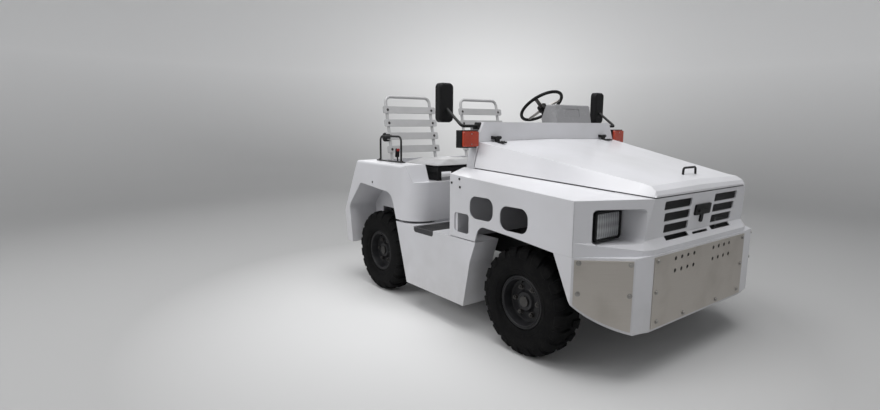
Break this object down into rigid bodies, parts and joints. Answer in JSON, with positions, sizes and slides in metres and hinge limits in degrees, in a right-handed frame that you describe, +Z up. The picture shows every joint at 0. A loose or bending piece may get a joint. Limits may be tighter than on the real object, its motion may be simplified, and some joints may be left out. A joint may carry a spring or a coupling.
{
  "type": "airport luggage tow tractor",
  "caption": "Open two-seat luggage tow tractor: tapered hood, heavy bumper, steered front wheels, rolling wheels, lifting hood and a pin hitch at the back.",
  "frame": {"origin": "on the ground below the middle of the overall length", "axes": "+X forward, +Y to the driver's left, +Z up"},
  "size_m": [2.62, 1.65, 1.4854],
  "materials": {
    "body_paint": "semi-gloss off-white paint on pressed steel",
    "grey_panel": "grey moulded panel",
    "stainless": "brushed stainless sheet",
    "chassis_paint": "satin black chassis paint",
    "floor_rubber": "ribbed black rubber",
    "bare_casting": "cast grey",
    "radiator_fins": "dark finned core",
    "black_mesh": "black wire mesh",
    "black_plastic": "moulded black plastic",
    "black_metal": "black painted steel",
    "lamp_glass": "clear lamp glass over a reflector",
    "signal_lens": "orange-red lens",
    "red_lens": "red lens",
    "seat_vinyl": "light grey seat vinyl",
    "seat_paint": "off-white paint on tube and slats",
    "tyre_rubber": "black tyre rubber",
    "rim_paint": "dark painted rim"
  },
  "bodies": {
    "root": {"arm_guards": "black_metal", "binnacle": "grey_panel", "bumper_plates": "stainless", "cowl": "body_paint", "dashboard": "grey_panel", "drive_shaft": "chassis_paint", "engine_block": "bare_casting", "floor_mat": "floor_rubber", "floor_plate": "body_paint", "frame_rails": "chassis_paint", "front_axle": "chassis_paint", "front_bumper": "body_paint", "front_side_panels": "body_paint", "gearbox": "bare_casting", "grille_mesh": "black_mesh", "headlights": "lamp_glass", "hinge_blocks": "black_metal", "hood_latch": "black_plastic", "leaf_springs": "chassis_paint", "mirror_arms": "black_metal", "mirror_heads": "black_plastic", "nose_panel": "body_paint", "parking_brake_lever": "black_metal", "pedals": "black_metal", "radiator": "radiator_fins", "rear_axle": "chassis_paint", "rear_body": "body_paint", "rear_hitch": "chassis_paint", "seat_backs": "seat_paint", "seat_bases": "black_metal", "seat_cushions": "seat_vinyl", "side_skirts": "body_paint", "steering_column": "black_plastic", "tail_lamps": "red_lens", "turn_lamp_housings": "black_plastic", "turn_lamp_lenses": "signal_lens"},
    "hood": {"hood": "body_paint", "hood_handle": "black_metal", "hinge_eyes": "black_metal"},
    "steering_wheel": {"steering_wheel": "black_plastic"},
    "knuckle_right": {"knuckle_right": "chassis_paint"},
    "knuckle_left": {"knuckle_left": "chassis_paint"},
    "tie_rod": {"tie_rod": "chassis_paint"},
    "wheel_front_left": {"tyre_front_left": "tyre_rubber", "rim_front_left": "rim_paint"},
    "wheel_front_right": {"tyre_front_right": "tyre_rubber", "rim_front_right": "rim_paint"},
    "wheel_rear_left": {"tyre_rear_left": "tyre_rubber", "rim_rear_left": "rim_paint"},
    "wheel_rear_right": {"tyre_rear_right": "tyre_rubber", "rim_rear_right": "rim_paint"}
  },
  "joints": [
    {"name": "steer_right", "type": "hinge", "parent": "root", "child": "knuckle_right", "pos_m": [0.74, -0.56, 0.295], "axis": [0, 0, 1], "range_deg": [-35, 35]},
    {"name": "steer_left", "type": "hinge", "parent": "root", "child": "knuckle_left", "pos_m": [0.74, 0.56, 0.295], "axis": [0, 0, 1], "range_deg": [-35, 35]},
    {"name": "tie_rod_swing", "type": "hinge", "parent": "knuckle_right", "child": "tie_rod", "pos_m": [0.61, -0.56, 0.2], "axis": [0, 0, 1], "range_deg": [-35, 35]},
    {"name": "steering_wheel_turn", "type": "hinge", "parent": "root", "child": "steering_wheel", "pos_m": [-0.185, 0.375, 1.37], "axis": [-0.6157, 0, 0.788], "range_deg": [-525, 525]},
    {"name": "hood_hinge", "type": "hinge", "parent": "root", "child": "hood", "pos_m": [0.273, 0, 1.15], "axis": [0, -1, 0], "range_deg": [0, 70]},
    {"name": "roll_front_left", "type": "hinge", "parent": "knuckle_left", "child": "wheel_front_left", "pos_m": [0.74, 0.7065, 0.295], "axis": [0, 1, 0], "continuous": true},
    {"name": "roll_front_right", "type": "hinge", "parent": "knuckle_right", "child": "wheel_front_right", "pos_m": [0.74, -0.7065, 0.295], "axis": [0, 1, 0], "continuous": true},
    {"name": "roll_rear_left", "type": "hinge", "parent": "root", "child": "wheel_rear_left", "pos_m": [-0.693, 0.7065, 0.295], "axis": [0, 1, 0], "continuous": true},
    {"name": "roll_rear_right", "type": "hinge", "parent": "root", "child": "wheel_rear_right", "pos_m": [-0.693, -0.7065, 0.295], "axis": [0, 1, 0], "continuous": true}
  ],
  "couplings": [
    {"joint": "steer_left", "follows": "steer_right", "ratio": 1},
    {"joint": "tie_rod_swing", "follows": "steer_right", "ratio": -1},
    {"joint": "steering_wheel_turn", "follows": "steer_right", "ratio": 15}
  ]
}
